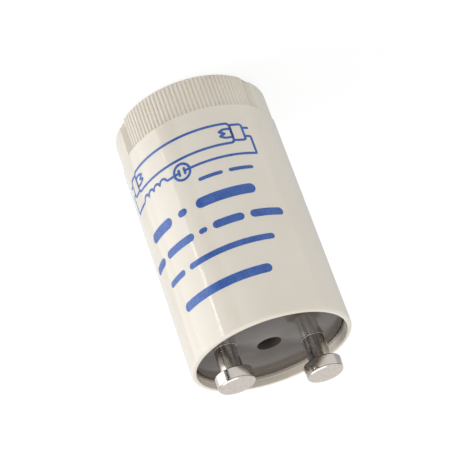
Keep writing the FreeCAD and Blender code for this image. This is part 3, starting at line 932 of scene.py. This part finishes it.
def pin_profile():
    """Half section of a pin: from the top of its bore down the tail, and up the outside to the head."""
    collar_top = DISC_TOP + COLLAR_HEIGHT
    collar_round = COLLAR_HEIGHT / 2
    rivet_low = DISC_BOTTOM - RIVET_HEIGHT
    rivet_round = RIVET_HEIGHT / 2
    neck_end = (NECK_RADIUS + NECK_FILLET, HEAD_BOTTOM - NECK_FILLET)
    head_edge = (HEAD_RADIUS - HEAD_LOW_ROUND, HEAD_BOTTOM + HEAD_LOW_ROUND)
    top_radius = HEAD_RADIUS - HEAD_TAPER
    groove_top = PIN_TOP - HEAD_CHAMFER
    groove_radius = top_radius - GROOVE_DEPTH
    return [
        (0, TAIL_END + BORE_DEPTH),
        (BORE_RADIUS, TAIL_END + BORE_DEPTH),
        *corner_round((BORE_RADIUS + EDGE_BREAK, TAIL_END + EDGE_BREAK), EDGE_BREAK, 180, 270, 2),
        *corner_round((SHANK_RADIUS - EDGE_BREAK, TAIL_END + EDGE_BREAK), EDGE_BREAK, 270, 360, 2),
        (SHANK_RADIUS, rivet_low),
        *corner_round((RIVET_RADIUS - rivet_round, rivet_low + rivet_round), rivet_round, 270, 360, 4),
        (RIVET_RADIUS, DISC_BOTTOM),
        (SHANK_RADIUS, DISC_BOTTOM),
        (SHANK_RADIUS, DISC_TOP),
        *corner_round((COLLAR_RADIUS - collar_round, DISC_TOP + collar_round), collar_round, 270, 450, 8),
        (NECK_RADIUS, collar_top),
        *corner_round(neck_end, NECK_FILLET, 180, 90, 4),
        *corner_round(head_edge, HEAD_LOW_ROUND, 270, 360, 5),
        (top_radius, groove_top - GROOVE_WIDTH),
        (groove_radius, groove_top - (1 - GROOVE_SLOPE) * GROOVE_WIDTH),
        (groove_radius, groove_top - GROOVE_SLOPE * GROOVE_WIDTH),
        (top_radius, groove_top),
        (top_radius - HEAD_CHAMFER, PIN_TOP),
        (0, PIN_TOP),
    ]


for side_name, side in (("left", -1), ("right", 1)):
    bm = spun(pin_profile(), PIN_STEPS)
    bmesh.ops.translate(bm, verts=bm.verts, vec=(side * PIN_X, 0, 0))
    finished(bm, f"turned_pin_{side_name}", pin_metal, "pin_metal", f"contact_pin_{side_name}")

# %% [markdown]
# ## What is inside
# The bulb, the capacitor, their leads and the solder are hidden once the disc is in. Their CAD
# solids already have the right shapes, so they stay, and each gets the finish of its material.

# %% Finishes of the inner pieces
glass, tree, shader = new_material("bulb_glass", ior=1.5, transmission_weight=1.0)
seeds = place_group(tree, mottle, {
    "Colour": (0.93, 0.96, 0.95, 1),
    "Drift Colour": (0.88, 0.92, 0.90, 1),
    "Patches per Metre": 300.0,
    "Roughness Low": 0.02,
    "Roughness High": 0.06,
})
link_finish(tree, shader, seeds)


def plain_metal(name, colour, drift, rough_low, rough_high, patches):
    """Metal of a small inner piece: mottled, with small dents."""
    made, tree, shader = new_material(name, metallic=1.0)
    worn = place_group(tree, mottle, {
        "Colour": colour,
        "Drift Colour": drift,
        "Patches per Metre": patches,
        "Roughness Low": rough_low,
        "Roughness High": rough_high,
    })
    link_finish(tree, shader, worn)
    dents = place_group(tree, skin, {"Waves per Metre": 900.0, "Peel per Metre": 7000.0, "Peel Share": 0.3})
    link_bump(tree, shader, dents["Height"], strength=0.5, distance=0.02 * MM)
    return made


solder = plain_metal("solder", (0.60, 0.60, 0.58, 1), (0.50, 0.50, 0.48, 1), 0.18, 0.4, 900.0)
lead_wire = plain_metal("lead_wire", (0.66, 0.65, 0.63, 1), (0.55, 0.53, 0.50, 1), 0.25, 0.4, 700.0)
electrode_metal = plain_metal(
    "electrode_metal", (0.52, 0.50, 0.47, 1), (0.44, 0.41, 0.37, 1), 0.3, 0.45, 500.0
)

capacitor_coating, tree, shader = new_material("capacitor_coating", ior=1.5)
resin = place_group(tree, mottle, {
    "Colour": (0.34, 0.045, 0.012, 1),
    "Drift Colour": (0.28, 0.035, 0.01, 1),
    "Patches per Metre": 200.0,
    "Roughness Low": 0.25,
    "Roughness High": 0.38,
})
link_finish(tree, shader, resin)
dipped = place_group(tree, skin, {"Waves per Metre": 500.0, "Peel per Metre": 4000.0, "Peel Share": 0.2})
link_bump(tree, shader, dipped["Height"], strength=0.8, distance=0.1 * MM)
print("finishes of the inner pieces ready")

# %% Give the inner pieces their finishes
INNER_FINISHES = {
    "bulb_envelope": glass,
    "bimetal_strip": electrode_metal,
    "counter_electrode": electrode_metal,
    "bulb_lead_left": lead_wire,
    "bulb_lead_right": lead_wire,
    "capacitor_lead_left": lead_wire,
    "capacitor_lead_right": lead_wire,
    "capacitor_body": capacitor_coating,
    "solder_joint_left": solder,
    "solder_joint_right": solder,
}
for node_name, finish in INNER_FINISHES.items():
    for material_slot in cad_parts[node_name].material_slots:
        material_slot.material = finish
print(len(INNER_FINISHES), "inner pieces finished")
